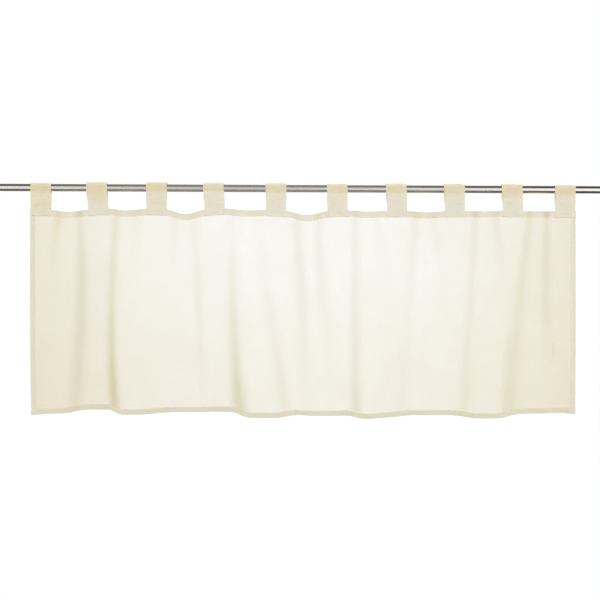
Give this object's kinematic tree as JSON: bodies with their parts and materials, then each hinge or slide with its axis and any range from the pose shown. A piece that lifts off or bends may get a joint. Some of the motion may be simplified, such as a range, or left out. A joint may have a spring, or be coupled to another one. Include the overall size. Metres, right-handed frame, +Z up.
{
  "type": "tab-top cafe curtain on a rod",
  "caption": "Short sheer cream cafe curtain with hemmed edges, hanging in soft uneven folds from sewn tabs looped over a straight steel rod.",
  "frame": {"origin": "middle of the rod's axis", "axes": "+X along the rod to the right as seen from the front, front of the curtain towards -Y, +Z up"},
  "size_m": [1.6, 0.0889, 0.607],
  "materials": {
    "cloth": "sheer cream voile, matt",
    "tab_cloth": "doubled cream voile, matt",
    "rod_steel": "brushed steel"
  },
  "bodies": {
    "root": {"panel": "cloth", "tab_01": "tab_cloth", "tab_02": "tab_cloth", "tab_03": "tab_cloth", "tab_04": "tab_cloth", "tab_05": "tab_cloth", "tab_06": "tab_cloth", "tab_07": "tab_cloth", "tab_08": "tab_cloth", "tab_09": "tab_cloth", "tab_10": "tab_cloth", "rod": "rod_steel"}
  },
  "joints": []
}
